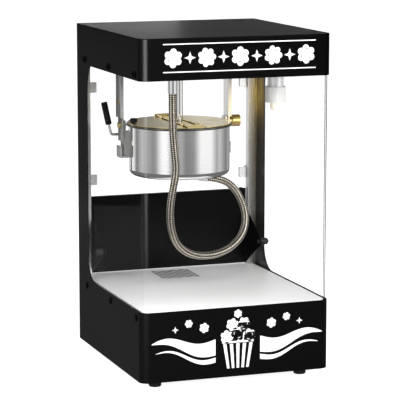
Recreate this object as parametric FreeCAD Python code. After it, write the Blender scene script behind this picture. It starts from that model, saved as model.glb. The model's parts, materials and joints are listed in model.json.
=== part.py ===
import FreeCAD, Part
import os
from math import asin, cos, pi, sin, sqrt, tan

V = FreeCAD.Vector
X_AXIS = V(1, 0, 0)
Y_AXIS = V(0, 1, 0)
Z_AXIS = V(0, 0, 1)

# ---------------------------------------------------------------- driving dimensions, mm
# Origin: under the feet, at the middle of the footprint. -Y is the front, +Y the operator's side.
width = 370.0
depth = 398.0
body_height = 628.0
roof_height = 76.5
base_height = 131.0
corner_radius = 17.5            # upright front corners
foot_height = 17.0
sheet = 1.5                     # painted sheet
fit = 0.3                       # gap between pieces that are only placed together
running = 0.05                  # radial gap of a shaft in its bore

z_base = foot_height
z_deck = z_base + base_height
z_top = z_base + body_height
z_ceiling = z_top - roof_height
half_width = width / 2
half_depth = depth / 2

# side panels
column_depth = 65.0             # rear column, front to back
gusset_radius = 70.0            # upper corner between column and roof side
gusset_drop = 51.5
lower_fillet = 45.0
seam_gap = 2.5                  # straight part of the band behind each round corner
seam_back = corner_radius + seam_gap
return_flange = 15.0

# clear wrap panel, set inside the bands
wrap_thickness = 3.0
wrap_inset = 2 * sheet + fit
wrap_overlap = 6.0              # how far it stands behind the upper and lower bands
wrap_rear_overlap = 16.0        # how far its sides reach behind the columns
inner_inset = wrap_inset + wrap_thickness + fit

# deck and sieve
plate = 1.2                     # stainless and inner sheet
deck_flange = 26.0
rear_setback = 9.0
rear_plane = half_depth - rear_setback  # rear face of the posts, doors and deck
sieve_x = -7.0
sieve_width = 78.0
sieve_y = rear_plane - 61.0
sieve_cells = 8
slot_length = 7.6
slot_width = 1.7

# side screws and feet
screw_rows = (half_depth - 52.0, -8.0, 34.0 - half_depth)
screw_offset = 10.5             # above the roof's lower edge
base_screw_drop = 14.0          # below the deck
screw_head_radius = 6.8
screw_head_height = 2.4
screw_shank_radius = 2.0
foot_x = half_width - 41.0
foot_y = half_depth - 46.0
foot_radius = 11.7
foot_chamfer = 1.2
foot_floor = 5.0                # rubber left under the screw
pan_head_radius = 4.2
pan_head_height = 2.4

# rear posts and doors
post_inner = half_width - 20.0
post_front = rear_plane - 13.0
door_gap = 1.5
door_thickness = 4.0
door_bottom = z_deck + 159.0
door_top = z_ceiling - 3.5
post_gap = 2.0
hinge_x = post_inner + 0.5
hinge_y = rear_plane + 3.5
hinge_heights = (z_deck + 188.0, z_deck + 371.0)
hinge_length = 24.0
barrel_radius = 2.6
hinge_pin_radius = 1.5
clamp_reach = 13.0
leaf_width = 13.0
leaf_sheet = 1.5
barrel_half = 4.0               # half the moving barrel's length
barrel_gap = 0.3
jaw_wall = 1.6
jaw_half = 10.0
pull_x = 16.0
pull_height = z_deck + 289.0
pull_stem_radius = 2.1
pull_knob_radius = 8.0
pull_knob_length = 5.5

# tilting serving door
serving_half = post_inner - 1.2
serving_face = rear_plane - 2.0
serving_height = 154.0
serving_lip = 10.0
pivot_y = rear_plane - 84.0
pivot_z = z_deck + 59.0
pivot_pin_radius = 3.0
pivot_knob_radius = 6.8
pivot_pin_inside = 5.0
wing_margin = 3.0               # wing beyond the pivot knob

# kettle
kettle_x = -38.0
kettle_y = 14.0
kettle_radius = 96.0
kettle_height = 99.0
rim_z = z_deck + 318.0
rim_width = 5.0
shell_wall = 1.2
shell_edge = 12.0
pan_gap = 3.0
pan_wall = 1.0
pan_edge = 10.0
heater_space = 16.0
tilt_behind = 29.5              # tilt axis behind the kettle's centre
tilt_below = 5.0                # tilt axis below the rim
tilt_y = kettle_y + tilt_behind
tilt_z = rim_z - tilt_below
kettle_floor = rim_z - kettle_height
pan_radius = kettle_radius - shell_wall - pan_gap
pan_floor = kettle_floor + heater_space

# hangers and kettle brackets, measured from the kettle's centre line
web_inner = kettle_radius + 5.0
web_thickness = 3.0
hanger_inner = web_inner + web_thickness + 1.5
hanger_thickness = 3.0
hanger_half = 13.5
hanger_flange = 7.0
hanger_below = 30.0             # strap end below the tilt axis
flange_above = 15.0             # flanges start above the tilt axis
pivot_radius = 4.0
bolt_head_radius = 6.0
bolt_head_height = 2.2
bolt_past_nut = (4.0, 22.0)     # left and right
nut_radius = 6.5
nut_length = 4.0
knob_neck = (8.0, 8.5)          # radius and length
knob_disc = (11.5, 16.0)
bracket_half = 12.0
bracket_low = 61.0              # bracket foot below the tilt axis
bracket_top = 12.0              # upper tie below the tilt axis
bracket_sheet = 3.0
bracket_rise = 10.0             # web above the tilt axis
hook_reach = 8.0
hook_height = 22.0
saddle = 2.5
hanger_foot = 22.0
hanger_screw_reach = 12.0
hanger_screw_offset = 8.0
hanger_joint_rise = 45.0        # joint screw above the tilt axis

# lids
lid_sheet = 1.2
lid_radius = kettle_radius + 3.0
crossbar_half = 10.5
lid_start = 20.0
rod_x = 14.0
rod_radius = 1.5
knuckle_radius = 2.8
lid_low = rim_z + 0.1
rod_z = lid_low + knuckle_radius
knuckle_y = 62.0
knuckle_half = 7.0
crossbar_sheet = 1.5
lug_length = 5.0
lug_height = 5.8
lid_knob_inset = 8.0
lid_knob_radius = 7.0
lid_knob_stud = 1.5

# stirring drive
shaft_radius = 7.0
shaft_clear = 7.0               # shaft end above the rim
stirrer_radius = 4.0
tang_engage = 3.0
tang_half = 2.0
slot_half = 3.8
gearbox = 64.0
gearbox_height = 30.0
motor_offset = 8.0
motor_radius = 24.0
motor_length = 32.0
shaft_in_gearbox = 14.0
shaft_slot_depth = 8.0
hub_radius = 5.5

# tilt handle
handle_back = 23.0              # where the rod passes behind the hanger
handle_below = 20.0
handle_radius = 2.5
grip_radius = 6.0
grip_length = 44.0
handle_foot_half = 10.0

# lamp
lamp_x = half_width - 44.0
lamp_y = -30.0
socket_radius = 16.0
socket_length = 36.0
collar_radius = 20.0
collar_length = 30.0
bulb_drop = 15.0                # bulb tip below its collar
bulb_cap_radius = 8.8
bulb_body_radius = 14.0
bulb_tip_radius = 10.0
socket_ribs = 6

# kettle cord, a braided conduit: route from the ceiling connector to the gland under the kettle
cord_radius = 7.25
connector_radius = 8.8
shoulder_height = 6.0
ring_height = 4.0
gland_sleeve = (8.6, 16.0)      # radius and length
gland_nut = (8.9, 5.0)
gland_boss_radius = 8.0
cord_route = [
    (-88, -92, 534), (-88, -92, 498), (-87, -92, 461), (-84, -92, 425), (-80, -92, 390), (-87, -92, 356),
    (-92, -89, 320), (-89, -83, 282), (-76, -75, 249), (-50, -65, 227), (-16, -55, 217), (21, -45, 218),
    (54, -34, 229), (79, -23, 250), (90, -10, 281), (84, 2, 313), (70, 11, 338), (48, 17, 352), (21, 20, 356),
]

# crumb drawer and controls
drawer_width = 112.0
drawer_length = 128.0
drawer_height = 34.0
drawer_below = 18.0             # drawer's open top below the deck
drawer_face_width = 130.0
drawer_face_height = 48.0
drawer_top = z_deck - drawer_below
drawer_bottom = drawer_top - drawer_height
drawer_middle = (drawer_top + drawer_bottom) / 2
drawer_left = sieve_x - drawer_width / 2
drawer_right = sieve_x + drawer_width / 2
drawer_rear = rear_plane + plate
drawer_front = drawer_rear - drawer_length
drawer_pull_half = 24.0
ledge_width = 8.0
switch_pitch = 40.0
switch_x = tuple(half_width - 65.0 - switch_pitch * i for i in (2, 1, 0))
switch_z = z_ceiling + 40.0
rocker_width = 11.0
rocker_half = 8.4
rocker_rest = -10.0
switch_half = (10.0, 14.0)      # frame, across and up
switch_body = (7.8, 11.8)
switch_body_depth = 18.0
well_depth = 10.0
rocker_stub = 1.0
gland_x = 65.0 - half_width
gland_bore = 4.2
gland_flange = (10.0, 5.0)      # radius and length
gland_barrel = (6.4, 18.0)
gland_lock = (9.0, 4.0)


# ---------------------------------------------------------------- helpers
def box(x0, x1, y0, y1, z0, z1):
    return Part.makeBox(x1 - x0, y1 - y0, z1 - z0, V(x0, y0, z0))


def rod(radius, length, start, axis=Z_AXIS):
    return Part.makeCylinder(radius, length, V(*start), axis)


def tube(outer, inner, length, start, axis=Z_AXIS):
    return rod(outer, length, start, axis).cut(rod(inner, length, start, axis))


def fused(*shapes):
    whole = shapes[0]
    for shape in shapes[1:]:
        whole = whole.fuse(shape)
    return whole.removeSplitter()


def mirrored(shape, x=0.0):
    return shape.mirror(V(x, 0, 0), X_AXIS)


def lowest_edge(shape):
    return min((edge for edge in shape.Edges if edge.Closed), key=lambda edge: edge.BoundBox.ZMax)


def highest_edge(shape):
    return max((edge for edge in shape.Edges if edge.Closed), key=lambda edge: edge.BoundBox.ZMin)


def prism(points, direction):
    wire = Part.makePolygon([V(*p) for p in points] + [V(*points[0])])
    return Part.Face(wire).extrude(direction)


def plan_outline(inset, rear):
    """Cabinet outline seen from above, set inwards by inset, with round front corners."""
    x = half_width - inset
    front = -half_depth + inset
    r = corner_radius - inset
    middle = r * (1 - sin(pi / 4))
    edges = [
        Part.LineSegment(V(x, rear, 0), V(x, front + r, 0)),
        Part.Arc(V(x, front + r, 0), V(x - middle, front + middle, 0), V(x - r, front, 0)),
        Part.LineSegment(V(x - r, front, 0), V(-x + r, front, 0)),
        Part.Arc(V(-x + r, front, 0), V(-x + middle, front + middle, 0), V(-x, front + r, 0)),
        Part.LineSegment(V(-x, front + r, 0), V(-x, rear, 0)),
        Part.LineSegment(V(-x, rear, 0), V(x, rear, 0)),
    ]
    return Part.Face(Part.Wire([edge.toShape() for edge in edges]))


def plan_plate(inset, rear, z0, z1):
    face = plan_outline(inset, rear)
    face.translate(V(0, 0, z0))
    return face.extrude(V(0, 0, z1 - z0))


def plan_shell(inset, thickness, rear, z0, z1):
    """Upright wall along the front and both sides, open at the rear."""
    outer = plan_plate(inset, rear, z0, z1)
    inner = plan_plate(inset + thickness, rear, z0, z1)
    gap = box(-half_width + inset + thickness, half_width - inset - thickness,
              rear - thickness, rear + 1, z0, z1)
    return outer.cut(inner).cut(gap)


def route_tube(points, radius, name):
    """Round tube along straight runs joined by tangent arcs, as large as the runs allow."""
    spots = [V(*p) for p in points]
    edges = []
    here = spots[0]
    radii = []
    length = 0.0
    for before, corner, after in zip(spots, spots[1:], spots[2:]):
        back = before.sub(corner)
        on = after.sub(corner)
        cut = 0.45 * min(back.Length, on.Length)
        turn = pi - back.getAngle(on)
        radii.append(cut / tan(turn / 2))
        start = corner.add(back.normalize().multiply(cut))
        end = corner.add(on.normalize().multiply(cut))
        to_middle = start.add(end).multiply(0.5).sub(corner)
        reach = radii[-1] / cos(turn / 2) - radii[-1]
        middle = corner.add(to_middle.normalize().multiply(reach))
        edges.append(Part.LineSegment(here, start).toShape())
        edges.append(Part.Arc(start, middle, end).toShape())
        length += start.sub(here).Length + radii[-1] * turn
        here = end
    edges.append(Part.LineSegment(here, spots[-1]).toShape())
    length += spots[-1].sub(here).Length
    path = Part.Wire(edges)
    ring = Part.Wire(Part.makeCircle(radius, spots[0], spots[1].sub(spots[0])))
    solid = path.makePipeShell([ring], True, False)
    print(name, "radii", [round(r, 1) for r in radii], "length", round(length, 1),
          "volume ratio", round(solid.Volume / (pi * radius ** 2 * length), 4))
    return solid


# ---------------------------------------------------------------- cabinet
def side_panel():
    """Right-hand C-shaped panel: base side, rear column and roof side, with a rear return."""
    y0 = -half_depth + seam_back
    y1 = half_depth
    column = half_depth - column_depth
    roof_edge = z_top - sheet
    arc_start = z_ceiling - gusset_drop
    centre_y = column - gusset_radius
    arc_end_y = centre_y + sqrt(gusset_radius ** 2 - gusset_drop ** 2)
    half_turn = 0.5 * asin(gusset_drop / gusset_radius)
    arc_mid = V(0, centre_y + gusset_radius * cos(half_turn), arc_start + gusset_radius * sin(half_turn))
    fillet_mid = lower_fillet * (1 - cos(pi / 4))
    corner = [V(0, y1, z_base), V(0, y1, roof_edge), V(0, y0, roof_edge), V(0, y0, z_ceiling)]
    upper = [V(0, arc_end_y, z_ceiling), V(0, column, arc_start)]
    lower = [V(0, column, z_deck + lower_fillet), V(0, column - lower_fillet, z_deck)]
    edges = [Part.LineSegment(a, b) for a, b in zip(corner, corner[1:])]
    edges += [
        Part.LineSegment(corner[3], upper[0]),
        Part.Arc(upper[0], arc_mid, upper[1]),
        Part.LineSegment(upper[1], lower[0]),
        Part.Arc(lower[0], V(0, column - fillet_mid, z_deck + fillet_mid), lower[1]),
        Part.LineSegment(lower[1], V(0, y0, z_deck)),
        Part.LineSegment(V(0, y0, z_deck), V(0, y0, z_base)),
        Part.LineSegment(V(0, y0, z_base), corner[0]),
    ]
    face = Part.Face(Part.Wire([edge.toShape() for edge in edges]))
    face.translate(V(half_width - sheet, 0, 0))
    flange = box(half_width - return_flange, half_width, y1 - sheet, y1, z_base, roof_edge)
    panel = fused(face.extrude(V(sheet, 0, 0)), flange)
    for y, z in side_screw_places():
        panel = panel.cut(rod(screw_shank_radius + fit, 3 * sheet, (half_width - 2 * sheet, y, z), X_AXIS))
    return panel


def side_screw_places():
    rows = (z_ceiling + screw_offset, z_deck - base_screw_drop)
    return [(y, z) for z in rows for y in screw_rows]


def front_band(z0, z1):
    """Front sheet with round corners and a tuck behind each side panel."""
    seam = -half_depth + seam_back
    band = plan_shell(0, sheet, seam, z0, z1)
    tuck = box(half_width - 2 * sheet, half_width - sheet, seam - 6, seam + 30, z0, z1)
    for y, z in side_screw_places():
        tuck = tuck.cut(rod(screw_shank_radius + fit, 4 * sheet, (half_width - 3 * sheet, y, z), X_AXIS))
    return fused(band, tuck, mirrored(tuck))


def tray(z0, z1, rear):
    """Flat plate with upright flanges at its front and sides."""
    return plan_shell(inner_inset, plate, rear, z0, z1)


def flange_holes(shape, z):
    for y in screw_rows:
        hole = rod(screw_shank_radius + fit, 8.0, (half_width - inner_inset - 5.0, y, z), X_AXIS)
        shape = shape.cut(hole).cut(mirrored(hole))
    return shape


def ceiling_plate():
    panel = plan_plate(inner_inset, rear_plane, z_ceiling, z_ceiling + plate)
    panel = fused(panel, tray(z_ceiling, z_ceiling + deck_flange, rear_plane))
    panel = flange_holes(panel, z_ceiling + screw_offset)
    holes = [(kettle_x, kettle_y, shaft_radius + 1.0), (*cord_route[0][:2], cord_radius + 1.0),
             (lamp_x, lamp_y, socket_radius - 4.0)]
    holes += [(x, y, screw_shank_radius + fit) for x, y in hanger_screw_places()]
    for x, y, r in holes:
        panel = panel.cut(rod(r, 4 * plate, (x, y, z_ceiling - plate)))
    return panel


def sieve_slots():
    """Basket weave of short slots: pairs lie along X and Y in turn."""
    cell = sieve_width / sieve_cells
    slots = []
    for i in range(sieve_cells):
        for j in range(sieve_cells):
            x = sieve_x + (i - (sieve_cells - 1) / 2) * cell
            y = sieve_y + (j - (sieve_cells - 1) / 2) * cell
            for side in (-0.25, 0.25):
                if (i + j) % 2:
                    size = (slot_length / 2, slot_width / 2)
                    place = (x, y + side * cell)
                else:
                    size = (slot_width / 2, slot_length / 2)
                    place = (x + side * cell, y)
                slots.append(box(place[0] - size[0], place[0] + size[0], place[1] - size[1],
                                 place[1] + size[1], z_deck - 2 * plate, z_deck + plate))
    return Part.makeCompound(slots)


def deck_plate():
    panel = plan_plate(inner_inset, rear_plane, z_deck - plate, z_deck)
    panel = fused(panel, tray(z_deck - deck_flange, z_deck, rear_plane))
    return flange_holes(panel, z_deck - base_screw_drop).cut(sieve_slots())


def base_bottom_plate():
    panel = plan_plate(2 * sheet, rear_plane, z_base, z_base + sheet)
    for x, y in foot_places():
        panel = panel.cut(rod(screw_shank_radius + fit, 3 * sheet, (x, y, z_base - sheet)))
    return panel


def base_rear_panel():
    x = half_width - sheet
    panel = box(-x, x, rear_plane, rear_plane + plate, z_base, z_deck)
    cut = box(drawer_left - 1, drawer_right + 1, rear_plane - 1, rear_plane + 2 * plate,
              drawer_bottom - fit - plate, drawer_top + 1)
    return panel.cut(cut)


def roof_rear_panel():
    x = half_width - sheet
    panel = box(-x, x, rear_plane, rear_plane + plate, z_ceiling, z_top - sheet)
    for place in switch_x:
        across = switch_body[0] + fit
        up = switch_body[1] + fit
        panel = panel.cut(box(place - across, place + across, rear_plane - 1, rear_plane + 2 * plate,
                              switch_z - up, switch_z + up))
    return panel.cut(rod(gland_barrel[0] + fit, 4 * plate, (gland_x, rear_plane - plate, switch_z), Y_AXIS))


def wrap_panel():
    rear = half_depth - column_depth + wrap_rear_overlap
    panel = plan_shell(wrap_inset, wrap_thickness, rear, z_deck - wrap_overlap, z_ceiling + wrap_overlap)
    bore = rod(pivot_pin_radius + running, 4 * wrap_thickness,
               (half_width - wrap_inset - 2 * wrap_thickness, pivot_y, pivot_z), X_AXIS)
    return panel.cut(bore).cut(mirrored(bore))


def rear_posts():
    x1 = half_width - sheet
    post = box(post_inner, x1, post_front, rear_plane, z_deck, z_ceiling)
    hollow = box(post_inner + plate, x1 - plate, post_front + plate, rear_plane - plate, z_deck, z_ceiling)
    post = post.cut(hollow)
    return [post, mirrored(post)]


def side_screws():
    screws = []
    for y, z in side_screw_places():
        head = rod(screw_head_radius, screw_head_height, (half_width, y, z), X_AXIS)
        rim = max((edge for edge in head.Edges if edge.Closed), key=lambda edge: edge.BoundBox.XMin)
        head = head.makeFillet(1.4, [rim])
        socket = rod(2.3, 1.6, (half_width + screw_head_height - 1.5, y, z), X_AXIS)
        shank_start = half_width - inner_inset - 6.0
        shank = rod(screw_shank_radius, half_width - shank_start, (shank_start, y, z), X_AXIS)
        screw = fused(head, shank).cut(socket)
        screws += [screw, mirrored(screw)]
    return screws


def foot_places():
    return [(x, y) for x in (-foot_x, foot_x) for y in (-foot_y, foot_y)]


def feet():
    shapes = []
    for x, y in foot_places():
        foot = rod(foot_radius, foot_height, (x, y, 0))
        foot = foot.makeChamfer(foot_chamfer, [lowest_edge(foot)])
        shapes.append(foot.cut(rod(screw_shank_radius + fit, foot_height, (x, y, foot_floor))))
    return shapes


def hanger_screw_places():
    reach = hanger_inner + hanger_screw_reach
    offsets = (-hanger_screw_offset, hanger_screw_offset)
    return [(kettle_x + side * reach, tilt_y + offset) for side in (-1, 1) for offset in offsets]


def pan_screw(x, y, z, length):
    """Screw standing along Z, with its head on top."""
    shank = rod(screw_shank_radius, length, (x, y, z - length))
    return fused(shank, rod(pan_head_radius, pan_head_height, (x, y, z)))


def zinc_screws():
    """Foot screws, hanger ceiling screws and the hanger joint screws."""
    shapes = [pan_screw(x, y, z_base + sheet, foot_height - 4.0) for x, y in foot_places()]
    shapes += [pan_screw(x, y, z_ceiling + plate, 2 * hanger_thickness) for x, y in hanger_screw_places()]
    for side in (-1, 1):
        start = kettle_x + side * (hanger_inner + hanger_thickness)
        shapes.append(rod(pan_head_radius, pan_head_height, (start, tilt_y, tilt_z + hanger_joint_rise),
                          V(side, 0, 0)))
    return shapes


# ---------------------------------------------------------------- rear doors
def door(side):
    x0, x1 = sorted((side * door_gap / 2, side * (post_inner - post_gap)))
    panel = box(x0, x1, rear_plane - door_thickness, rear_plane, door_bottom, door_top)
    hole = rod(pull_stem_radius + 0.1, 4 * door_thickness,
               (side * pull_x, rear_plane - 2 * door_thickness, pull_height), Y_AXIS)
    return panel.cut(hole)


def door_pull(side):
    x = side * pull_x
    inside = rear_plane - door_thickness
    stem = rod(pull_stem_radius, door_thickness + 3.0, (x, inside, pull_height), Y_AXIS)
    knob = rod(pull_knob_radius, pull_knob_length, (x, rear_plane + 2.5, pull_height), Y_AXIS)
    collar = rod(2 * pull_stem_radius + fit, 2.6, (x, rear_plane, pull_height), Y_AXIS)
    head = rod(2 * pull_stem_radius - 0.2, 1.6, (x, inside - 1.6, pull_height), Y_AXIS)
    return fused(stem, knob, collar, head)


def door_hinges():
    """Fixed leaf on each post: a plate and two barrel ends."""
    leaves = []
    notch = barrel_half + barrel_gap
    end = hinge_length / 2 - notch
    for z in hinge_heights:
        low = z - hinge_length / 2
        high = low + hinge_length
        leaf = box(hinge_x, hinge_x + leaf_width, rear_plane, rear_plane + leaf_sheet, low, high)
        leaf = leaf.cut(box(hinge_x - 1, hinge_x + barrel_radius + 1.8, rear_plane - 1, hinge_y,
                            z - notch, z + notch))
        for start in (low, low + hinge_length - end):
            leaf = leaf.fuse(rod(barrel_radius, end, (hinge_x, hinge_y, start)))
        leaf = leaf.cut(rod(hinge_pin_radius, hinge_length, (hinge_x, hinge_y, low)))
        leaf = leaf.removeSplitter()
        leaves += [leaf, mirrored(leaf)]
    return leaves


def door_hinge_pins():
    pins = []
    for z in hinge_heights:
        pin = rod(hinge_pin_radius, hinge_length, (hinge_x, hinge_y, z - hinge_length / 2))
        pins += [pin, mirrored(pin)]
    return pins


def door_clamp(side):
    """Clamps that grip the edge of a door and carry the moving barrel."""
    edge = post_inner - post_gap
    inside = rear_plane - door_thickness
    relief = jaw_half + 1.0
    clamps = []
    for z in hinge_heights:
        jaw = box(edge - clamp_reach, edge + 1.2, inside - jaw_wall, rear_plane + jaw_wall,
                  z - jaw_half, z + jaw_half)
        jaw = jaw.cut(box(edge - clamp_reach - 1, edge, inside, rear_plane, z - relief, z + relief))
        for low, high in ((z - relief, z - barrel_half - 0.2), (z + barrel_half + 0.2, z + relief)):
            jaw = jaw.cut(box(edge - 1.2, edge + 2, rear_plane, rear_plane + 2, low, high))
        tongue = box(edge - 2.0, hinge_x, rear_plane, rear_plane + 2.2, z - barrel_half, z + barrel_half)
        barrel = rod(barrel_radius, 2 * barrel_half, (hinge_x, hinge_y, z - barrel_half))
        clamp = fused(jaw, tongue, barrel)
        clamp = clamp.cut(rod(hinge_pin_radius + running, hinge_length,
                              (hinge_x, hinge_y, z - hinge_length / 2)))
        clamps.append(clamp if side > 0 else mirrored(clamp))
    return clamps


def serving_door():
    z0 = z_deck + 1.5
    z1 = z0 + serving_height
    panel = box(-serving_half, serving_half, serving_face - sheet, serving_face, z0, z1)
    lip = box(-serving_half, serving_half - 10, serving_face - serving_lip, serving_face, z1 - sheet, z1)
    tab = box(serving_half - 17, serving_half - 10, serving_face - serving_lip,
              serving_face - serving_lip + sheet, z1 - sheet, z1 + 3)
    reach = pivot_knob_radius + wing_margin
    outline = [(serving_face, z_deck + 119), (pivot_y - 2, pivot_z + reach), (pivot_y - reach, pivot_z),
               (pivot_y - 2, pivot_z - reach), (serving_face - 2, z0), (serving_face, z0)]
    wing = prism([(serving_half - sheet, y, z) for y, z in outline], V(sheet, 0, 0))
    bore = rod(pivot_pin_radius + running, 4 * sheet, (serving_half - 2 * sheet, pivot_y, pivot_z), X_AXIS)
    wing = wing.cut(bore)
    return fused(panel, lip, tab, wing, mirrored(wing))


def serving_door_knobs():
    """Pivot knobs between the serving door's wings and the clear panel."""
    outer = half_width - wrap_inset - wrap_thickness
    inner = serving_half + fit
    knob = rod(pivot_knob_radius, outer - inner, (inner, pivot_y, pivot_z), X_AXIS)
    start = inner - pivot_pin_inside
    pin = rod(pivot_pin_radius, wrap_thickness + outer - start, (start, pivot_y, pivot_z), X_AXIS)
    head = rod(pivot_pin_radius + 2.0, 2.0, (start - 1.0, pivot_y, pivot_z), X_AXIS)
    knob = fused(knob, pin, head)
    return [knob, mirrored(knob)]


# ---------------------------------------------------------------- kettle
def about_kettle(x, y, z):
    return (kettle_x + x, kettle_y + y, z)


def cup(radius, low, high, edge, wall):
    outer = rod(radius, high - low, about_kettle(0, 0, low))
    inner = rod(radius - wall, high - low, about_kettle(0, 0, low + wall))
    outer = outer.makeFillet(edge, [lowest_edge(outer)])
    inner = inner.makeFillet(edge - wall, [lowest_edge(inner)])
    return outer.cut(inner)


def kettle_shell():
    return cup(kettle_radius, kettle_floor, rim_z - shell_wall, shell_edge, shell_wall)


def kettle_pan():
    return cup(pan_radius, pan_floor, rim_z - shell_wall, pan_edge, pan_wall)


def kettle_rim():
    """Rolled rim that joins the pan and the shell."""
    inner = pan_radius - pan_wall
    outer = kettle_radius + rim_width
    low = rim_z - rim_width
    seat = rim_z - shell_wall
    outline = [(inner, seat), (kettle_radius, seat), (kettle_radius, low), (outer, low), (outer, rim_z),
               (inner, rim_z)]
    face = Part.Face(Part.makePolygon([V(r, 0, z) for r, z in outline + outline[:1]]))
    ring = face.revolve(V(0, 0, 0), Z_AXIS, 360)
    rounded = [e for e in ring.Edges if e.BoundBox.XMax > outer - 0.01 and e.Closed]
    ring = Part.Solid(ring).makeFillet(1.8, rounded)
    ring.translate(V(kettle_x, kettle_y, 0))
    return ring


def kettle_bracket(side):
    """Saddle on the shell wall, tie plates, upright web on the tilt pivot and a hooked foot."""
    y0 = tilt_behind - bracket_half
    y1 = tilt_behind + bracket_half
    z0 = tilt_z - bracket_low
    z1 = tilt_z - bracket_top
    web_outer = web_inner + web_thickness
    thick = bracket_sheet
    web = box(web_inner, web_outer, y0, y1, z0, tilt_z + bracket_rise)
    core = box(0, web_inner + 1, y0, y1, z0, z1).cut(rod(kettle_radius, kettle_height, (0, 0, z0 - thick)))
    pocket = box(0, web_inner, y0 + thick, y1 - thick, z0 + thick, z1 - thick)
    pocket = pocket.cut(rod(kettle_radius + saddle, kettle_height, (0, 0, z0 - thick)))
    foot = box(web_inner, web_outer + hook_reach, y0, y1, z0, z0 + thick)
    hook = box(web_outer + hook_reach - thick, web_outer + hook_reach, y0, y1, z0, z0 + hook_height)
    shape = fused(core.cut(pocket), web, foot, hook)
    shape = shape.cut(rod(pivot_radius + running, 20, (web_inner - 5, tilt_behind, tilt_z), X_AXIS))
    if side < 0:
        shape = mirrored(shape)
    shape.translate(V(kettle_x, kettle_y, 0))
    return shape


def pivot_bolts():
    """Bolt through each hanger and kettle bracket, with its head inside the web."""
    head_start = web_inner - fit - bolt_head_height
    outer = hanger_inner + hanger_thickness
    bolts = []
    for side, past in zip((-1, 1), bolt_past_nut):
        bolt = fused(rod(pivot_radius, outer + past - head_start, (head_start, 0, 0), X_AXIS),
                     rod(bolt_head_radius, bolt_head_height, (head_start, 0, 0), X_AXIS))
        if side < 0:
            bolt = mirrored(bolt)
        bolt.translate(V(kettle_x, tilt_y, tilt_z))
        bolts.append(bolt)
    return bolts


def pivot_nuts():
    """Plain nut on the left and a large round knob nut on the right."""
    start = hanger_inner + hanger_thickness
    plain = mirrored(tube(nut_radius, pivot_radius, nut_length, (start, 0, 0), X_AXIS))
    neck = rod(*knob_neck, (start, 0, 0), X_AXIS)
    disc = rod(*knob_disc, (start + knob_neck[1] - 0.5, 0, 0), X_AXIS)
    knob = fused(neck, disc).cut(rod(pivot_radius, bolt_past_nut[1], (start, 0, 0), X_AXIS))
    for shape in (plain, knob):
        shape.translate(V(kettle_x, tilt_y, tilt_z))
    return [plain, knob]


def hanger(side):
    """Strap with stiffening flanges above the pivot and a foot screwed under the ceiling."""
    inner = hanger_inner
    outer = inner + hanger_thickness
    web = box(inner, outer, -hanger_half, hanger_half, tilt_z - hanger_below, z_ceiling)
    low = tilt_z + flange_above
    front = box(inner, inner + hanger_flange, -hanger_half, -hanger_half + hanger_thickness, low, z_ceiling)
    back = box(inner, inner + hanger_flange, hanger_half - hanger_thickness, hanger_half, low, z_ceiling)
    foot = box(inner, inner + hanger_foot, -hanger_half, hanger_half, z_ceiling - hanger_thickness, z_ceiling)
    shape = fused(web, front, back, foot)
    shape = shape.cut(rod(pivot_radius, 20, (inner - 5, 0, tilt_z), X_AXIS))
    for offset in (-hanger_screw_offset, hanger_screw_offset):
        place = (inner + hanger_screw_reach, offset, z_ceiling - 10)
        shape = shape.cut(rod(screw_shank_radius + fit, 20, place))
    if side < 0:
        shape = mirrored(shape)
    shape.translate(V(kettle_x, tilt_y, 0))
    return shape


def lid(side):
    """Half lid with two knuckles on its hinge rod. side -1 is the left one."""
    reach = lid_radius
    high = lid_low + lid_sheet
    half = box(lid_start, reach + 1, -reach, reach, lid_low, high)
    shape = rod(reach, lid_sheet, (0, 0, lid_low)).common(half)
    for y in (-knuckle_y - knuckle_half, knuckle_y - knuckle_half):
        shape = shape.fuse(box(rod_x, lid_start + 1, y, y + 2 * knuckle_half, lid_low, high))
        shape = shape.fuse(rod(knuckle_radius, 2 * knuckle_half, (rod_x, y, rod_z), Y_AXIS))
    shape = shape.cut(rod(rod_radius + running, 2 * reach, (rod_x, -reach, rod_z), Y_AXIS)).removeSplitter()
    if side < 0:
        shape = mirrored(shape)
        shape = shape.cut(rod(lid_knob_stud, 4.0, (-lid_radius + lid_knob_inset, 0, lid_low - 1)))
    shape.translate(V(kettle_x, kettle_y, 0))
    return shape


def lid_knob():
    low = lid_low + lid_sheet
    knob = rod(lid_knob_radius, 8.0, (0, 0, low + 2.0))
    knob = knob.makeFillet(2.0, [highest_edge(knob)])
    neck = rod(lid_knob_radius - 3.0, 2.5, (0, 0, low))
    stud = rod(lid_knob_stud, 3.0, (0, 0, lid_low))
    knob = fused(knob, neck, stud)
    knob.translate(V(kettle_x - lid_radius + lid_knob_inset, kettle_y, 0))
    return knob


def lid_crossbar():
    """Bar over the rim that guides the stirrer and holds both hinge rods by end lugs."""
    reach = kettle_radius + 2.0
    bar = box(-crossbar_half, crossbar_half, -reach, reach, rim_z, rim_z + crossbar_sheet)
    guide = rod(stirrer_radius + 3.5, crossbar_sheet + 4.5, (0, 0, rim_z - 4.5))
    shape = fused(bar, guide)
    for end in (-1, 1):
        y0, y1 = sorted((end * reach, end * (reach - lug_length)))
        shape = shape.fuse(box(-rod_x - 3.5, rod_x + 3.5, y0, y1, rim_z, rim_z + lug_height))
    for x in (-rod_x, rod_x):
        shape = shape.cut(rod(rod_radius, 2 * reach, (x, -reach, rod_z), Y_AXIS))
    shape = shape.cut(rod(stirrer_radius + running, 20, (0, 0, rim_z - 10))).removeSplitter()
    shape.translate(V(kettle_x, kettle_y, 0))
    return shape


def lid_hinge_rods():
    reach = kettle_radius + 2.0
    return [rod(rod_radius, 2 * reach, about_kettle(x, -reach, rod_z), Y_AXIS) for x in (-rod_x, rod_x)]


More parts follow.
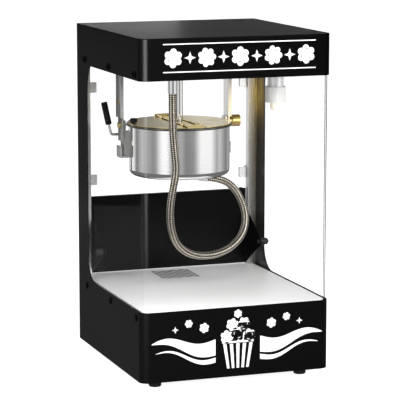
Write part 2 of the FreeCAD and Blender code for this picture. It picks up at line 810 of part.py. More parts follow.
def agitator():
    """Stirrer: upright rod, two bent arms over the pan floor, hub and flat drive tang."""
    foot = pan_floor + pan_wall + fit
    hub_low = rim_z + crossbar_sheet + fit
    hub_high = rim_z + shaft_clear - 2.0
    tang_top = rim_z + shaft_clear + tang_engage
    upright = rod(stirrer_radius, hub_low - foot, (0, 0, foot))
    hub = rod(hub_radius, hub_high - hub_low, (0, 0, hub_low))
    tang = box(-tang_half, tang_half, 1 - hub_radius, hub_radius - 1, hub_high - 0.5, tang_top)
    arm_reach = pan_radius - pan_edge - 4.0
    arms = box(-arm_reach, arm_reach, -2.5, 2.5, foot + 0.5, foot + 5.5)
    tips = [box(x - 2, x + 2, -6, 6, foot + 0.5, foot + 12) for x in (-arm_reach + 2, arm_reach - 2)]
    shape = fused(upright, hub, tang, arms, *tips)
    shape.translate(V(kettle_x, kettle_y, 0))
    return shape


def heating_element():
    """Ring heater clamped to the pan's underside."""
    return tube(62.0, 48.0, 6.0, about_kettle(0, 0, pan_floor - 6.0))


def thermostat():
    return rod(12.0, 9.0, about_kettle(0, 20, pan_floor - 9.0))


def cord_gland():
    """Gland under the kettle: a boss on the shell's floor and a sleeve towards the cord."""
    end = V(*cord_route[-1])
    toward = V(*cord_route[-2]).sub(end).normalize()
    start = end.sub(V(toward.x, toward.y, toward.z).multiply(gland_sleeve[1]))
    sleeve = Part.makeCylinder(*gland_sleeve, start, toward)
    nut = Part.makeCylinder(*gland_nut, start, toward)
    boss = rod(gland_boss_radius, kettle_floor - start.z, (start.x, start.y, start.z))
    under = Part.makeBox(60, 60, 40, V(start.x - 30, start.y - 30, kettle_floor))
    return fused(sleeve, nut, boss).cut(under)


def handle_route():
    z = tilt_z - handle_below
    y = tilt_y + handle_back
    wall = -sqrt(kettle_radius ** 2 - (y - kettle_y) ** 2)
    outer = kettle_x - hanger_inner - hanger_flange - 2.0
    return [(kettle_x + wall - 1.0, y, z), (outer - 4.5, y, z), (outer - 6.0, y + 4.0, z + 9.0),
            (outer - 9.0, y + 8.0, z + 28.0)]


def handle_rod():
    """Bent rod from a welded foot on the shell, behind the left hanger, up to the grip."""
    start = handle_route()[0]
    bent = route_tube(handle_route(), handle_radius, "handle rod")
    half = handle_foot_half
    foot = tube(kettle_radius + 2.0, kettle_radius, 2 * half, about_kettle(0, 0, start[2] - half))
    foot = foot.common(box(kettle_x - kettle_radius - 3, kettle_x - 60, start[1] - half + 1,
                           start[1] + half - 1, start[2] - half, start[2] + half))
    return fused(bent, foot).cut(rod(kettle_radius, 6 * half, about_kettle(0, 0, start[2] - 3 * half)))


def handle_grip():
    low = V(*handle_route()[-2])
    high = V(*handle_route()[-1])
    along = high.sub(low).normalize()
    start = low.add(V(along.x, along.y, along.z).multiply(0.5 * high.sub(low).Length))
    grip = Part.makeCylinder(grip_radius, grip_length, start, along)
    grip = grip.makeFillet(2.2, [e for e in grip.Edges if e.Closed])
    bore_length = high.sub(start).Length
    return grip.cut(Part.makeCylinder(handle_radius, bore_length, start, along))


# ---------------------------------------------------------------- drive, cord and lamp
def gear_motor():
    low = z_ceiling + plate
    half = gearbox / 2
    case = box(kettle_x - half, kettle_x + half, kettle_y - half, kettle_y + half, low, low + gearbox_height)
    can = rod(motor_radius, motor_length, (kettle_x + motor_offset, kettle_y, low + gearbox_height))
    bore = rod(shaft_radius + running, shaft_in_gearbox + 2.0, (kettle_x, kettle_y, low - 1.0))
    return fused(case, can).cut(bore)


def drive_shaft():
    low = rim_z + shaft_clear
    top = z_ceiling + plate + shaft_in_gearbox
    shaft = rod(shaft_radius, top - low, about_kettle(0, 0, low))
    slot = box(kettle_x - slot_half, kettle_x + slot_half, kettle_y - 9, kettle_y + 9, low - 1,
               low + shaft_slot_depth)
    return shaft.cut(slot)


def cord_connector():
    """Ceiling fitting of the conduit: hex shoulder, sleeve and a ring nut above the ceiling."""
    x, y, end = cord_route[0]
    sleeve = rod(connector_radius, z_ceiling - end, (x, y, end))
    shoulder = rod(connector_radius + 2.5, shoulder_height, (x, y, z_ceiling - shoulder_height))
    thread = rod(cord_radius + 0.7, 2 * ring_height, (x, y, z_ceiling - 1.0))
    ring = tube(connector_radius + 3.0, cord_radius, ring_height, (x, y, z_ceiling + plate))
    return fused(sleeve, shoulder, thread, ring)


def lamp_socket():
    """Ribbed socket under the ceiling."""
    low = z_ceiling - socket_length
    shape = rod(socket_radius - 1.5, socket_length, (lamp_x, lamp_y, low))
    pitch = socket_length / socket_ribs
    for i in range(socket_ribs):
        shape = shape.fuse(rod(socket_radius, 0.55 * pitch, (lamp_x, lamp_y, low + i * pitch)))
    return shape.cut(rod(9.0, 22.0, (lamp_x, lamp_y, low - 1))).removeSplitter()


def lamp_collar():
    high = z_ceiling - socket_length
    low = high - collar_length
    ring = tube(collar_radius, collar_radius - 2.0, collar_length, (lamp_x, lamp_y, low))
    top = tube(collar_radius, 11.0, 2.0, (lamp_x, lamp_y, high - 2.0))
    return fused(ring, top)


def lamp_bulb():
    """Bulb with a narrow cap in the socket, a round body in the collar and a blunt tip."""
    high = z_ceiling - socket_length
    low = high - collar_length - bulb_drop
    cap = rod(bulb_cap_radius, 20.0, (lamp_x, lamp_y, high - 4.0))
    body = rod(bulb_body_radius, collar_length - 6.0, (lamp_x, lamp_y, high - collar_length + 2.0))
    tip = rod(bulb_tip_radius, bulb_drop + 4.0, (lamp_x, lamp_y, low))
    tip = tip.makeFillet(6.0, [lowest_edge(tip)])
    return fused(cap, body, tip)


# ---------------------------------------------------------------- crumb drawer and controls
def crumb_drawer():
    x0, x1, y0, y1 = drawer_left, drawer_right, drawer_front, drawer_rear
    hollow = box(x0 + plate, x1 - plate, y0 + plate, y1 - plate, drawer_bottom + plate, drawer_top + 1)
    drawer = box(x0, x1, y0, y1, drawer_bottom, drawer_top).cut(hollow)
    face = box(sieve_x - drawer_face_width / 2, sieve_x + drawer_face_width / 2, y1, y1 + sheet,
               drawer_middle - drawer_face_height / 2, drawer_middle + drawer_face_height / 2)
    return fused(drawer, face)


def drawer_pull():
    x0 = sieve_x - drawer_pull_half
    x1 = sieve_x + drawer_pull_half
    y = drawer_rear + sheet
    back = box(x0, x1, y, y + 1.5, drawer_middle - 5, drawer_middle + 5)
    lip = box(x0, x1, y, half_depth - 0.5, drawer_middle + 3, drawer_middle + 5)
    return fused(back, lip)


def drawer_runners():
    """Angles hung from the deck's underside that carry the drawer."""
    top = z_deck - plate
    low = drawer_bottom - fit - plate
    outer = drawer_right + fit + plate
    hang = box(drawer_right + fit, outer, drawer_front, rear_plane, low, top)
    ledge = box(drawer_right - ledge_width, outer, drawer_front, rear_plane, low, low + plate)
    tab = box(drawer_right + fit, drawer_right + ledge_width + 2, drawer_front, rear_plane, top - plate, top)
    runner = fused(hang, ledge, tab)
    return [runner, mirrored(runner, sieve_x)]


def switch_bezels():
    """Housing of each rocker switch: a front frame and a body behind the panel."""
    shapes = []
    for x in switch_x:
        face = rear_plane + plate
        across, up = switch_half
        frame = box(x - across, x + across, face, face + 2.0, switch_z - up, switch_z + up)
        across, up = switch_body
        body = box(x - across, x + across, face - switch_body_depth, face, switch_z - up, switch_z + up)
        across = rocker_width / 2 + fit
        up = rocker_half + 1.4
        well = box(x - across, x + across, face - well_depth, face + 3, switch_z - up, switch_z + up)
        across += rocker_stub
        pivot = rod(rocker_stub + running, 2 * across, (x - across, face, switch_z), X_AXIS)
        shapes.append(fused(frame, body).cut(well).cut(pivot))
    return shapes


def rocker(x):
    """Rocker key with its two pivot stubs, resting in its off position."""
    face = rear_plane + plate
    half = rocker_width / 2
    outline = [(-6.0, -6.0), (3.0, -rocker_half), (1.6, 0.0), (3.0, rocker_half), (-6.0, 6.0)]
    key = prism([(x - half, face + y, switch_z + z) for y, z in outline], V(rocker_width, 0, 0))
    reach = half + 1.2 * rocker_stub
    key = fused(key, rod(rocker_stub, 2 * reach, (x - reach, face, switch_z), X_AXIS))
    key.rotate(V(x, face, switch_z), X_AXIS, rocker_rest)
    return key


def mains_gland():
    """Bush that the mains lead passes through."""
    face = rear_plane + plate
    flange = rod(*gland_flange, (gland_x, face, switch_z), Y_AXIS)
    barrel = rod(*gland_barrel, (gland_x, face - gland_barrel[1] + 4.0, switch_z), Y_AXIS)
    nut = rod(*gland_lock, (gland_x, rear_plane - gland_lock[1], switch_z), Y_AXIS)
    return fused(flange, barrel, nut).cut(rod(gland_bore, 40, (gland_x, face - 20, switch_z), Y_AXIS))


# ---------------------------------------------------------------- the assembly
def assembly():
    right = side_panel()
    nodes = {
        "side_panel_left": mirrored(right),
        "side_panel_right": right,
        "roof_front_band": front_band(z_ceiling, z_top - sheet),
        "roof_top_panel": plan_plate(0, half_depth, z_top - sheet, z_top),
        "roof_rear_panel": roof_rear_panel(),
        "ceiling_plate": ceiling_plate(),
        "base_front_band": front_band(z_base, z_deck),
        "deck_plate": deck_plate(),
        "base_bottom_plate": base_bottom_plate(),
        "base_rear_panel": base_rear_panel(),
        "crumb_drawer": crumb_drawer(),
        "drawer_pull": drawer_pull(),
        "drawer_runners": drawer_runners(),
        "wrap_panel": wrap_panel(),
        "rear_posts": rear_posts(),
        "feet": feet(),
        "zinc_screws": zinc_screws(),
        "side_screws": side_screws(),
        "door_left": door(-1),
        "door_right": door(1),
        "door_pull_left": door_pull(-1),
        "door_pull_right": door_pull(1),
        "door_hinges": door_hinges(),
        "door_hinge_pins": door_hinge_pins(),
        "door_clamp_left": door_clamp(-1),
        "door_clamp_right": door_clamp(1),
        "serving_door": serving_door(),
        "serving_door_knobs": serving_door_knobs(),
        "hanger_left": hanger(-1),
        "hanger_right": hanger(1),
        "kettle_shell": kettle_shell(),
        "kettle_pan": kettle_pan(),
        "kettle_rim": kettle_rim(),
        "kettle_bracket_left": kettle_bracket(-1),
        "kettle_bracket_right": kettle_bracket(1),
        "pivot_bolts": pivot_bolts(),
        "pivot_nuts": pivot_nuts(),
        "lid_left": lid(-1),
        "lid_right": lid(1),
        "lid_crossbar": lid_crossbar(),
        "lid_hinge_rods": lid_hinge_rods(),
        "lid_knob": lid_knob(),
        "agitator": agitator(),
        "heating_element": heating_element(),
        "thermostat": thermostat(),
        "cord_gland": cord_gland(),
        "handle_rod": handle_rod(),
        "handle_grip": handle_grip(),
        "gear_motor": gear_motor(),
        "drive_shaft": drive_shaft(),
        "cord_connector": cord_connector(),
        "kettle_cord": route_tube(cord_route, cord_radius, "kettle cord"),
        "lamp_socket": lamp_socket(),
        "lamp_collar": lamp_collar(),
        "lamp_bulb": lamp_bulb(),
        "switch_bezels": switch_bezels(),
        "mains_gland": mains_gland(),
    }
    for name, x in zip(("rocker_light", "rocker_heat", "rocker_motor"), switch_x):
        nodes[name] = rocker(x)
    return nodes


def save(nodes):
    os.makedirs("parts", exist_ok=True)
    for name, shape in nodes.items():
        pieces = shape if isinstance(shape, list) else [shape]
        solids = [solid for piece in pieces for solid in piece.Solids]
        for solid in solids:
            if not solid.isValid() or solid.Volume <= 0:
                print("bad solid in", name)
        whole = solids[0] if len(solids) == 1 else Part.makeCompound(solids)
        whole.exportStep(f"parts/{name}.step")


save(assembly())
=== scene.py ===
import json
import math
import random

import bmesh
import bpy
import numpy as np
from mathutils import Matrix, Vector

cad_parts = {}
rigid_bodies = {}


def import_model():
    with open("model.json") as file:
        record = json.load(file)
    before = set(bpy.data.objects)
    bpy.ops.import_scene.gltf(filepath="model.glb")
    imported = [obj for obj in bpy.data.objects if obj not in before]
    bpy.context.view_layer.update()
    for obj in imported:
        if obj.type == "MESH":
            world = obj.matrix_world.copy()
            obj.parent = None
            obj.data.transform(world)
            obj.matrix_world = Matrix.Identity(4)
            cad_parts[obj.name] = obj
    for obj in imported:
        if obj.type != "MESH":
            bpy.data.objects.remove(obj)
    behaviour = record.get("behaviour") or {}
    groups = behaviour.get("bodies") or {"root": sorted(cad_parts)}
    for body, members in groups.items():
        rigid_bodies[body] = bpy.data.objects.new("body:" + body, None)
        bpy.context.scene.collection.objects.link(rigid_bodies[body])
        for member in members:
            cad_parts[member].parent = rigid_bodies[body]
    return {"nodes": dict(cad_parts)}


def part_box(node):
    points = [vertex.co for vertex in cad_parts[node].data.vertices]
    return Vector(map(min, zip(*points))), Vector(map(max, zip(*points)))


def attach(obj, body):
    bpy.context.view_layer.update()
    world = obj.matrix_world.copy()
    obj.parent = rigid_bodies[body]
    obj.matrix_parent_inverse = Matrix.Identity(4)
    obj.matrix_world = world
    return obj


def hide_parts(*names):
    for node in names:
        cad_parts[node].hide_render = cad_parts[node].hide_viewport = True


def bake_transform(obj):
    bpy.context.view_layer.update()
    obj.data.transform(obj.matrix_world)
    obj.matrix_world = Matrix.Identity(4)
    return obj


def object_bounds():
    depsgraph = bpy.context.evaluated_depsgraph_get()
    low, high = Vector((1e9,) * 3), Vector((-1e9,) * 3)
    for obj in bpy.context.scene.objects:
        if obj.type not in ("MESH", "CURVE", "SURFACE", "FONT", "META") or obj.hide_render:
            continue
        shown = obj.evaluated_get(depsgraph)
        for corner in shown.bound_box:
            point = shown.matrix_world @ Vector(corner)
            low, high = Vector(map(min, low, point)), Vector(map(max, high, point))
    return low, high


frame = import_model()
cad_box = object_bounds()
nodes = frame["nodes"]

MM = 0.001


# ---------------------------------------------------------------- camera
CAMERA_AZIMUTH = -19.70             # degrees from straight in front, right positive
CAMERA_ELEVATION = 9.31
CAMERA_PLACE = (-1.3005, -3.6293, 0.948)
CAMERA_LENS = 183.7


def add_camera():
    """Camera at the viewing angle of the product shot, a little above and to the left."""
    azimuth = math.radians(CAMERA_AZIMUTH)
    elevation = math.radians(CAMERA_ELEVATION)
    data = bpy.data.cameras.new("camera")
    data.sensor_width = 36.0
    data.lens = CAMERA_LENS
    data.clip_end = 200.0
    camera = bpy.data.objects.new("camera", data)
    bpy.context.scene.collection.objects.link(camera)
    back = Vector((math.sin(azimuth) * math.cos(elevation),
                   -math.cos(azimuth) * math.cos(elevation),
                   math.sin(elevation)))
    camera.location = CAMERA_PLACE
    camera.rotation_euler = back.to_track_quat("Z", "Y").to_euler()
    bpy.context.scene.camera = camera


add_camera()


# ---------------------------------------------------------------- helpers
def mesh_object(name, mesh, material=None, smooth=True):
    obj = bpy.data.objects.new(name, mesh)
    bpy.context.scene.collection.objects.link(obj)
    if material:
        mesh.materials.append(material)
    if smooth:
        mesh.polygons.foreach_set("use_smooth", [True] * len(mesh.polygons))
    return obj


def curve_mesh(curve, name):
    """The plain mesh of a curve object, which is then removed."""
    obj = bpy.data.objects.new(name, curve)
    bpy.context.scene.collection.objects.link(obj)
    graph = bpy.context.evaluated_depsgraph_get()
    mesh = bpy.data.meshes.new_from_object(obj.evaluated_get(graph))
    bpy.data.objects.remove(obj)
    return mesh


def size_of(node):
    low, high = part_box(node)
    return Vector(low), Vector(high)


# ---------------------------------------------------------------- materials
EVEN = (1.0, 1.0, 1.0)


class Look:
    """A node material with one Principled shader and short calls for its textures."""

    def __init__(self, name, color, roughness, metallic=0.0, **sockets):
        self.material = bpy.data.materials.new(name)
        self.material.use_nodes = True
        self.tree = self.material.node_tree
        self.shader = self.tree.nodes["Principled BSDF"]
        self.set("Base Color", (*color, 1.0))
        self.set("Roughness", roughness)
        self.set("Metallic", metallic)
        for socket, value in sockets.items():
            self.set(socket.replace("_", " "), value)
        self.place = None

    def set(self, socket, value):
        self.shader.inputs[socket].default_value = value

    def node(self, kind, **inputs):
        node = self.tree.nodes.new(kind)
        for key, value in inputs.items():
            node.inputs[key.replace("_", " ")].default_value = value
        return node

    def link(self, out, into):
        self.tree.links.new(out, into)

    def coordinates(self, scale=EVEN):
        """Object coordinates, in metres, stretched by scale."""
        if self.place is None:
            self.place = self.node("ShaderNodeTexCoord")
        mapping = self.node("ShaderNodeMapping")
        mapping.inputs["Scale"].default_value = scale
        self.link(self.place.outputs["Object"], mapping.inputs["Vector"])
        return mapping.outputs["Vector"]

    def noise(self, scale, detail, stretch=EVEN):
        noise = self.node("ShaderNodeTexNoise", Scale=scale, Detail=detail, Roughness=0.5)
        self.link(self.coordinates(stretch), noise.inputs["Vector"])
        return noise.outputs["Fac"]

    def between(self, value, low, high, start=0.3, end=0.7):
        """value from start..end spread over low..high."""
        spread = self.node("ShaderNodeMapRange")
        spread.inputs["From Min"].default_value = start
        spread.inputs["From Max"].default_value = end
        spread.inputs["To Min"].default_value = low
        spread.inputs["To Max"].default_value = high
        self.link(value, spread.inputs["Value"])
        return spread.outputs["Result"]

    def maths(self, operation, first, second=None):
        """One arithmetic step on a value, with a second value or number."""
        step = self.node("ShaderNodeMath")
        step.operation = operation
        self.link(first, step.inputs[0])
        if isinstance(second, (int, float)):
            step.inputs[1].default_value = second
        elif second is not None:
            self.link(second, step.inputs[1])
        return step.outputs[0]

    def tint(self, value, first, second):
        """Base colour running from first to second with value."""
        ramp = self.node("ShaderNodeMix")
        ramp.data_type = "RGBA"
        colours = [socket for socket in ramp.inputs if socket.type == "RGBA"]
        colours[0].default_value = (*first, 1.0)
        colours[1].default_value = (*second, 1.0)
        factor = next(socket for socket in ramp.inputs if socket.type == "VALUE")
        self.link(value, factor)
        result = next(socket for socket in ramp.outputs if socket.type == "RGBA")
        self.link(result, self.shader.inputs["Base Color"])

    def rough(self, value):
        self.link(value, self.shader.inputs["Roughness"])

    def grain(self, scale, detail, distance, strength, stretch=EVEN):
        """Fine bumps, distance metres high."""
        bump = self.node("ShaderNodeBump", Strength=strength, Distance=distance)
        self.link(self.noise(scale, detail, stretch), bump.inputs["Height"])
        self.link(bump.outputs["Normal"], self.shader.inputs["Normal"])

    def smudge(self, scale, detail, low, high, stretch=EVEN):
        """Roughness that drifts between low and high."""
        self.rough(self.between(self.noise(scale, detail, stretch), low, high))

    def mottle(self, scale, detail, first, second):
        """Base colour that drifts between first and second."""
        self.tint(self.between(self.noise(scale, detail), 0.0, 1.0), first, second)


def shaded(color, share):
    return tuple(channel * share for channel in color)


def powder_black():
    level = 0.0016
    look = Look("powder_black", (level, level, level * 1.15), 0.30, Specular_IOR_Level=0.12)
    look.grain(900.0, 2.0, 0.00010, 0.3)
    look.smudge(3.0, 1.0, 0.28, 0.33)
    look.mottle(500.0, 2.0, (level * 0.8,) * 3, (level * 1.3,) * 3)
    return look.material


def brushed(name, color, roughness, stretch, metallic=1.0):
    """Brushed stainless: fine scratches along the axis with the smallest stretch."""
    look = Look(name, color, roughness, metallic)
    look.grain(1.0, 3.0, 0.00004, 0.5, stretch)
    look.smudge(1.0, 2.0, roughness - 0.06, roughness + 0.06, stretch)
    look.mottle(9.0, 3.0, shaded(color, 0.93), color)
    return look.material


def satin_deck():
    """Pale satin sheet with fine scratches across the cabinet."""
    look = Look("deck_steel", (0.93, 0.93, 0.925), 0.38, 0.15)
    stretch = (12.0, 900.0, 12.0)
    look.grain(1.0, 3.0, 0.00003, 0.3, stretch)
    look.smudge(1.0, 2.0, 0.32, 0.40, stretch)
    look.mottle(5.0, 2.0, (0.91, 0.91, 0.90), (0.95, 0.95, 0.945))
    return look.material


def polished(name, color, roughness, warm=0.0, metallic=1.0):
    """Polished metal with fine rings about Z; warm from 0 to 1 yellows random patches of it, a
    painted warm reflection.
    """
    look = Look(name, color, roughness, metallic)
    look.grain(1.0, 2.0, 0.00003, 0.35, (6.0, 6.0, 2600.0))
    look.smudge(1.0, 3.0, roughness * 0.75, roughness * 1.35, (20.0, 20.0, 700.0))
    # yellowed patches: painted warm reflection
    second = (color[0], color[1] * (1 - 0.1 * warm), color[2] * (1 - 0.35 * warm))
    look.mottle(12.0, 3.0, color, second)
    return look.material


def clear_acrylic():
    """Clear sheet: faint reflections, softer in its two bent corners, and painted shade round the
    right one, a dark line where that bend is seen edge-on.
    """
    low, high = size_of("wrap_panel")
    bend = 14.2 * MM
    fade = 2 * MM
    clear = (0.95, 0.97, 0.98)
    look = Look("clear_acrylic", clear, 0.03, 1.0, Specular_IOR_Level=0.0)
    gloss = look.node("ShaderNodeLayerWeight", Blend=0.30)
    turned = look.node("ShaderNodeLayerWeight", Blend=0.5)
    place = look.node("ShaderNodeSeparateXYZ")
    look.link(look.coordinates(), place.inputs["Vector"])
    beside = look.maths("ABSOLUTE", place.outputs["X"])
    across = look.between(beside, 0.0, 1.0, high.x - bend, high.x - bend + fade)
    ahead = look.between(place.outputs["Y"], 1.0, 0.0, low.y + bend - fade, low.y + bend)
    corner = look.maths("MULTIPLY", across, ahead)
    right = look.between(place.outputs["X"], 0.0, 1.0, high.x - bend, high.x - bend + fade)
    edge_on = look.between(turned.outputs["Facing"], 0.0, 1.0, 0.45, 0.62)
    # painted shade: the right bend turns dark and nearly opaque where it is seen edge-on
    outline = look.maths("MULTIPLY", look.maths("MULTIPLY", right, ahead), edge_on)
    total = look.between(look.noise(5.0, 2.0), 0.0, 0.0006)
    for part, share in ((gloss.outputs["Fresnel"], 0.05), (corner, 0.0022), (outline, 0.9)):
        total = look.maths("ADD", total, look.maths("MULTIPLY", part, share))
    look.link(total, look.shader.inputs["Alpha"])
    look.tint(outline, clear, (0.02, 0.02, 0.022))
    smear = look.between(look.noise(60.0, 2.0), 0.02, 0.05)
    look.rough(look.maths("ADD", look.maths("MULTIPLY", corner, 0.28), smear))
    return look.material


def plastic(name, color, roughness, scale=700.0, depth=0.00006, **sockets):
    look = Look(name, color, roughness, **sockets)
    look.grain(scale, 2.0, depth, 0.5)
    look.smudge(40.0, 3.0, roughness - 0.05, roughness + 0.07)
    look.mottle(120.0, 2.0, shaded(color, 0.85), color)
    return look.material


def plated(name, color, roughness):
    look = Look(name, color, roughness, 1.0)
    look.grain(420.0, 3.0, 0.00004, 0.4)
    look.smudge(90.0, 3.0, roughness - 0.05, roughness + 0.09)
    second = (color[0] * 0.9, color[1] * 0.86, color[2] * 0.72)
    look.mottle(160.0, 3.0, second, color)
    return look.material


def lit_glass():
    """Frosted warm glass of the lit bulb."""
    look = Look("lit_glass", (0.86, 0.82, 0.68), 0.25,
                Emission_Color=(1.0, 0.92, 0.66, 1.0), Emission_Strength=0.05)
    look.grain(260.0, 2.0, 0.00004, 0.3)
    look.smudge(60.0, 2.0, 0.2, 0.32)
    look.mottle(50.0, 2.0, (0.80, 0.75, 0.58), (0.88, 0.85, 0.72))
    return look.material


def lit_collar():
    """Translucent white collar around the lit bulb, with a faint painted glow for the bulb's light
    shining through it.
    """
    look = Look("lit_collar", (0.80, 0.80, 0.79), 0.4, Alpha=0.72,
                Emission_Color=(1.0, 0.98, 0.93, 1.0), Emission_Strength=0.01)
    look.grain(300.0, 2.0, 0.00004, 0.3)
    look.smudge(50.0, 2.0, 0.34, 0.48)
    look.mottle(30.0, 2.0, (0.72, 0.72, 0.71), (0.80, 0.80, 0.78))
    return look.material


def print_white():
    look = Look("print_white", (0.9, 0.9, 0.89), 0.45)
    look.grain(900.0, 2.0, 0.00003, 0.3)
    look.smudge(30.0, 3.0, 0.4, 0.52)
    look.mottle(70.0, 3.0, (0.84, 0.84, 0.83), (0.93, 0.93, 0.92))
    return look.material


def conduit_steel():
    """Braided wire: a painted highlight on top of each bundle, and painted shade, dark and
    brownish, in the gaps.
    """
    look = Look("conduit_steel", (0.50, 0.47, 0.42), 0.32, 0.85)
    weave = look.node("ShaderNodeAttribute")
    weave.attribute_name = "weave"
    # random unevenness of the painted sheen
    uneven_sheen = look.between(look.noise(420.0, 2.0), 0.55, 1.35)
    lit_tops = look.maths("MULTIPLY", weave.outputs["Fac"], uneven_sheen)
    look.tint(look.between(lit_tops, 0.0, 1.0, 0.20, 0.85), (0.010, 0.007, 0.004), (0.95, 0.88, 0.74))
    look.smudge(700.0, 3.0, 0.24, 0.42)
    look.grain(2400.0, 2.0, 0.00003, 0.4)
    return look.material


BLACK = powder_black()
DECK = satin_deck()
HANGER = brushed("hanger_steel", (0.55, 0.548, 0.54), 0.30, (8.0, 700.0, 8.0))
STEEL = brushed("brushed_steel", (0.72, 0.715, 0.70), 0.30, (8.0, 700.0, 8.0))
PALE_STEEL = brushed("pale_steel", (0.82, 0.82, 0.82), 0.34, (900.0, 8.0, 6.0), metallic=0.5)
POST_STEEL = brushed("post_steel", (0.60, 0.60, 0.60), 0.28, (900.0, 8.0, 6.0), metallic=0.85)
# The rim's dark steel is painted shade: the shadow line under the kettle's rolled rim.
RIM_IN_SHADE = polished("rim_steel", (0.16, 0.15, 0.13), 0.22)
KETTLE = polished("kettle_steel", (0.86, 0.86, 0.855), 0.13)
LID = polished("lid_steel", (0.76, 0.66, 0.37), 0.17, warm=1.0, metallic=0.9)
PAN = polished("pan_steel", (0.72, 0.67, 0.52), 0.25, warm=1.0)
CHROME = polished("chrome", (0.82, 0.82, 0.83), 0.08)
CLEAR = clear_acrylic()
ZINC = plated("yellow_zinc", (0.78, 0.62, 0.30), 0.28)
SCREW = plated("black_oxide", (0.025, 0.025, 0.028), 0.34)
SOCKET = brushed("socket_alloy", (0.82, 0.82, 0.82), 0.3, (300.0, 300.0, 8.0), metallic=0.4)
RUBBER = plastic("foot_rubber", (0.014, 0.014, 0.015), 0.7)
GRIP = plastic("grip_plastic", (0.006, 0.006, 0.0065), 0.34, 900.0, 0.00008,
               Specular_IOR_Level=0.2)
BLACK_PLASTIC = plastic("black_plastic", (0.012, 0.012, 0.013), 0.42, Specular_IOR_Level=0.35)
RED = plastic("switch_red", (0.45, 0.02, 0.015), 0.28)
MOTOR = plated("motor_grey", (0.30, 0.31, 0.33), 0.45)
HEATER = plated("heater_steel", (0.22, 0.21, 0.20), 0.55)
BULB = lit_glass()
COLLAR = lit_collar()
WHITE = print_white()
SHADE = plastic("sieve_shade", (0.006, 0.006, 0.006), 0.7, Specular_IOR_Level=0.1)
CONDUIT = conduit_steel()

FINISHES = {
    BLACK: ("side_panel_left side_panel_right roof_front_band roof_top_panel roof_rear_panel "
            "ceiling_plate base_front_band base_bottom_plate base_rear_panel serving_door "
            "crumb_drawer"),
    DECK: "deck_plate",
    POST_STEEL: "rear_posts",
    PALE_STEEL: "door_hinges door_clamp_left door_clamp_right drawer_runners",
    HANGER: "hanger_left hanger_right kettle_bracket_left kettle_bracket_right",
    STEEL: "handle_rod agitator",
    KETTLE: "kettle_shell drive_shaft",
    RIM_IN_SHADE: "kettle_rim",
    PAN: "kettle_pan",
    LID: "lid_left lid_right lid_crossbar lid_hinge_rods pivot_nuts",
    CHROME: "cord_connector door_hinge_pins cord_gland",
    SOCKET: "lamp_socket",
    CLEAR: "wrap_panel door_left door_right",
    ZINC: "zinc_screws pivot_bolts",
    SCREW: "side_screws",
    RUBBER: "feet",
    GRIP: "handle_grip lid_knob",
    BLACK_PLASTIC: ("drawer_pull door_pull_left door_pull_right serving_door_knobs "
                    "switch_bezels mains_gland rocker_heat rocker_motor"),
    RED: "rocker_light",
    MOTOR: "gear_motor",
    HEATER: "heating_element thermostat",
    BULB: "lamp_bulb",
    COLLAR: "lamp_collar",
    CONDUIT: "kettle_cord",
}


def finish_nodes():
    """Each CAD node gets its material in its slots."""
    for material, names in FINISHES.items():
        for name in names.split():
            obj = nodes[name]
            if not obj.material_slots:
                obj.data.materials.append(material)
            for slot in obj.material_slots:
                slot.material = material


finish_nodes()


# ---------------------------------------------------------------- kettle cord
# Control points in mm, from the ceiling connector to the gland under the kettle.
CORD_ROUTE = [
    (-88, -92, 534), (-88, -92, 498), (-87, -92, 461), (-84, -92, 425), (-80, -92, 390),
    (-87, -92, 356), (-92, -89, 320), (-89, -83, 282), (-76, -75, 249), (-50, -65, 227),
    (-16, -55, 217), (21, -45, 218), (54, -34, 229), (79, -23, 250), (90, -10, 281),
    (84, 2, 313), (70, 11, 338), (48, 17, 352), (21, 20, 356),
]
CORD_DIAMETER = 14.5 * MM
CORD_STEP = 0.8 * MM
CORD_SIDES = 96
BRAID_STRANDS = 8               # wire bundles wound each way
BRAID_PITCH = 0.030             # length of one turn of a bundle
BRAID_RELIEF = 0.75 * MM
BUNDLE_WIRES = 3
WIRE_RELIEF = 0.10              # share of the braid's height
UNDER_HEIGHT = 0.45             # the same, where a bundle passes under another
DULL_SHEEN = 0.20               # painted sheen of the bundles wound the second way, as a share


def cord_line():
    """Points read from the route's smooth spline."""
    curve = bpy.data.curves.new("cord_route", "CURVE")
    curve.dimensions = "3D"
    spline = curve.splines.new("NURBS")
    spline.points.add(len(CORD_ROUTE) - 1)
    for point, place in zip(spline.points, CORD_ROUTE):
        point.co = (*[value * MM for value in place], 1.0)
    spline.order_u = 3
    spline.use_endpoint_u = True
    spline.resolution_u = 16
    mesh = curve_mesh(curve, "cord_route")
    return np.array([vertex.co for vertex in mesh.vertices])


def even_line(points, step):
    """The same line with points an even step apart, and each point's distance along it."""
    along = np.r_[0, np.cumsum(np.linalg.norm(np.diff(points, axis=0), axis=1))]
    count = int(round(along[-1] / step))
    even = np.linspace(0, along[-1], count + 1)
    return np.stack([np.interp(even, along, points[:, axis]) for axis in range(3)], axis=1), even


def carried_normals(points):
    """Two normals at each point, turned as little as possible along the line."""
    tangents = np.gradient(points, axis=0)
    tangents /= np.linalg.norm(tangents, axis=1)[:, None]
    side = np.cross(tangents[0], (0.0, 1.0, 0.0))
    sides = []
    for tangent in tangents:
        side = side - tangent * (side @ tangent)
        side = side / np.linalg.norm(side)
        sides.append(side)
    sides = np.array(sides)
    return sides, np.cross(tangents, sides)


